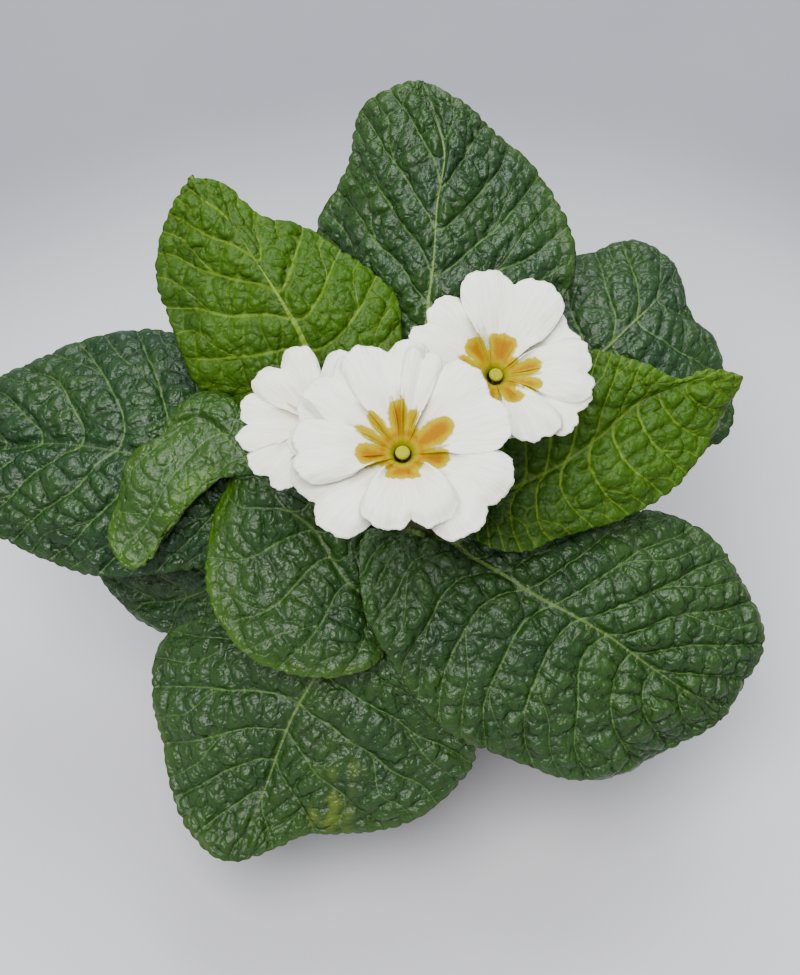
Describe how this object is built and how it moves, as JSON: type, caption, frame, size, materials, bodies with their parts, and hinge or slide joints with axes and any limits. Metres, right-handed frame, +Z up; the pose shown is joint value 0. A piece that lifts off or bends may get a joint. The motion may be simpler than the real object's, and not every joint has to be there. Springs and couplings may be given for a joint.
{
  "type": "potted primrose",
  "caption": "Potted primrose: a rosette of quilted, scalloped leaves round white flowers with a yellow eye, in a plain round nursery pot of soil.",
  "frame": {"origin": "middle of the pot's underside, in the plane it rests on", "axes": "+Z up along the pot's axis, -Y towards the front of the plant, +X to the viewer's right"},
  "size_m": [0.2294, 0.1854, 0.1555],
  "materials": {
    "pot": "moulded, slightly ribbed by the mould, satin",
    "soil": "moist crumbly peat",
    "crown": "fleshy, with old leaf scars",
    "leaf_dark": "quilted, glossy cells between sunken pale veins",
    "leaf_bright": "quilted, yellow-green, glossy cells between sunken veins",
    "leaf_young": "young, pale, finely quilted",
    "petal": "white, finely ribbed, soft sheen, yellow-orange eye",
    "bud_petal": "rolled, greenish cream",
    "calyx": "ribbed, finely hairy",
    "pistil": "waxy, yellow-green",
    "stalk": "pale green, finely hairy"
  },
  "bodies": {
    "root": {"pot": "pot", "potting_soil": "soil", "crown": "crown", "leaf_back": "leaf_dark", "leaf_back_left": "leaf_bright", "leaf_left": "leaf_dark", "leaf_front_left": "leaf_dark", "leaf_front": "leaf_dark", "leaf_front_right": "leaf_dark", "leaf_right": "leaf_bright", "leaf_back_right": "leaf_dark", "leaf_low_left": "leaf_dark", "leaf_low_right": "leaf_dark", "leaf_low_back_left": "leaf_dark", "leaf_low_back_right": "leaf_dark", "leaf_inner_back": "leaf_young", "leaf_inner_front": "leaf_young", "flower_front_corolla": "petal", "flower_front_calyx": "calyx", "flower_front_pistil": "pistil", "flower_front_stalk": "stalk", "flower_back_corolla": "petal", "flower_back_calyx": "calyx", "flower_back_pistil": "pistil", "flower_back_stalk": "stalk", "flower_left_corolla": "petal", "flower_left_calyx": "calyx", "flower_left_pistil": "pistil", "flower_left_stalk": "stalk", "bud_1_calyx": "calyx", "bud_1_petals": "bud_petal", "bud_1_stalk": "stalk", "bud_2_calyx": "calyx", "bud_2_petals": "bud_petal", "bud_2_stalk": "stalk"}
  },
  "joints": []
}
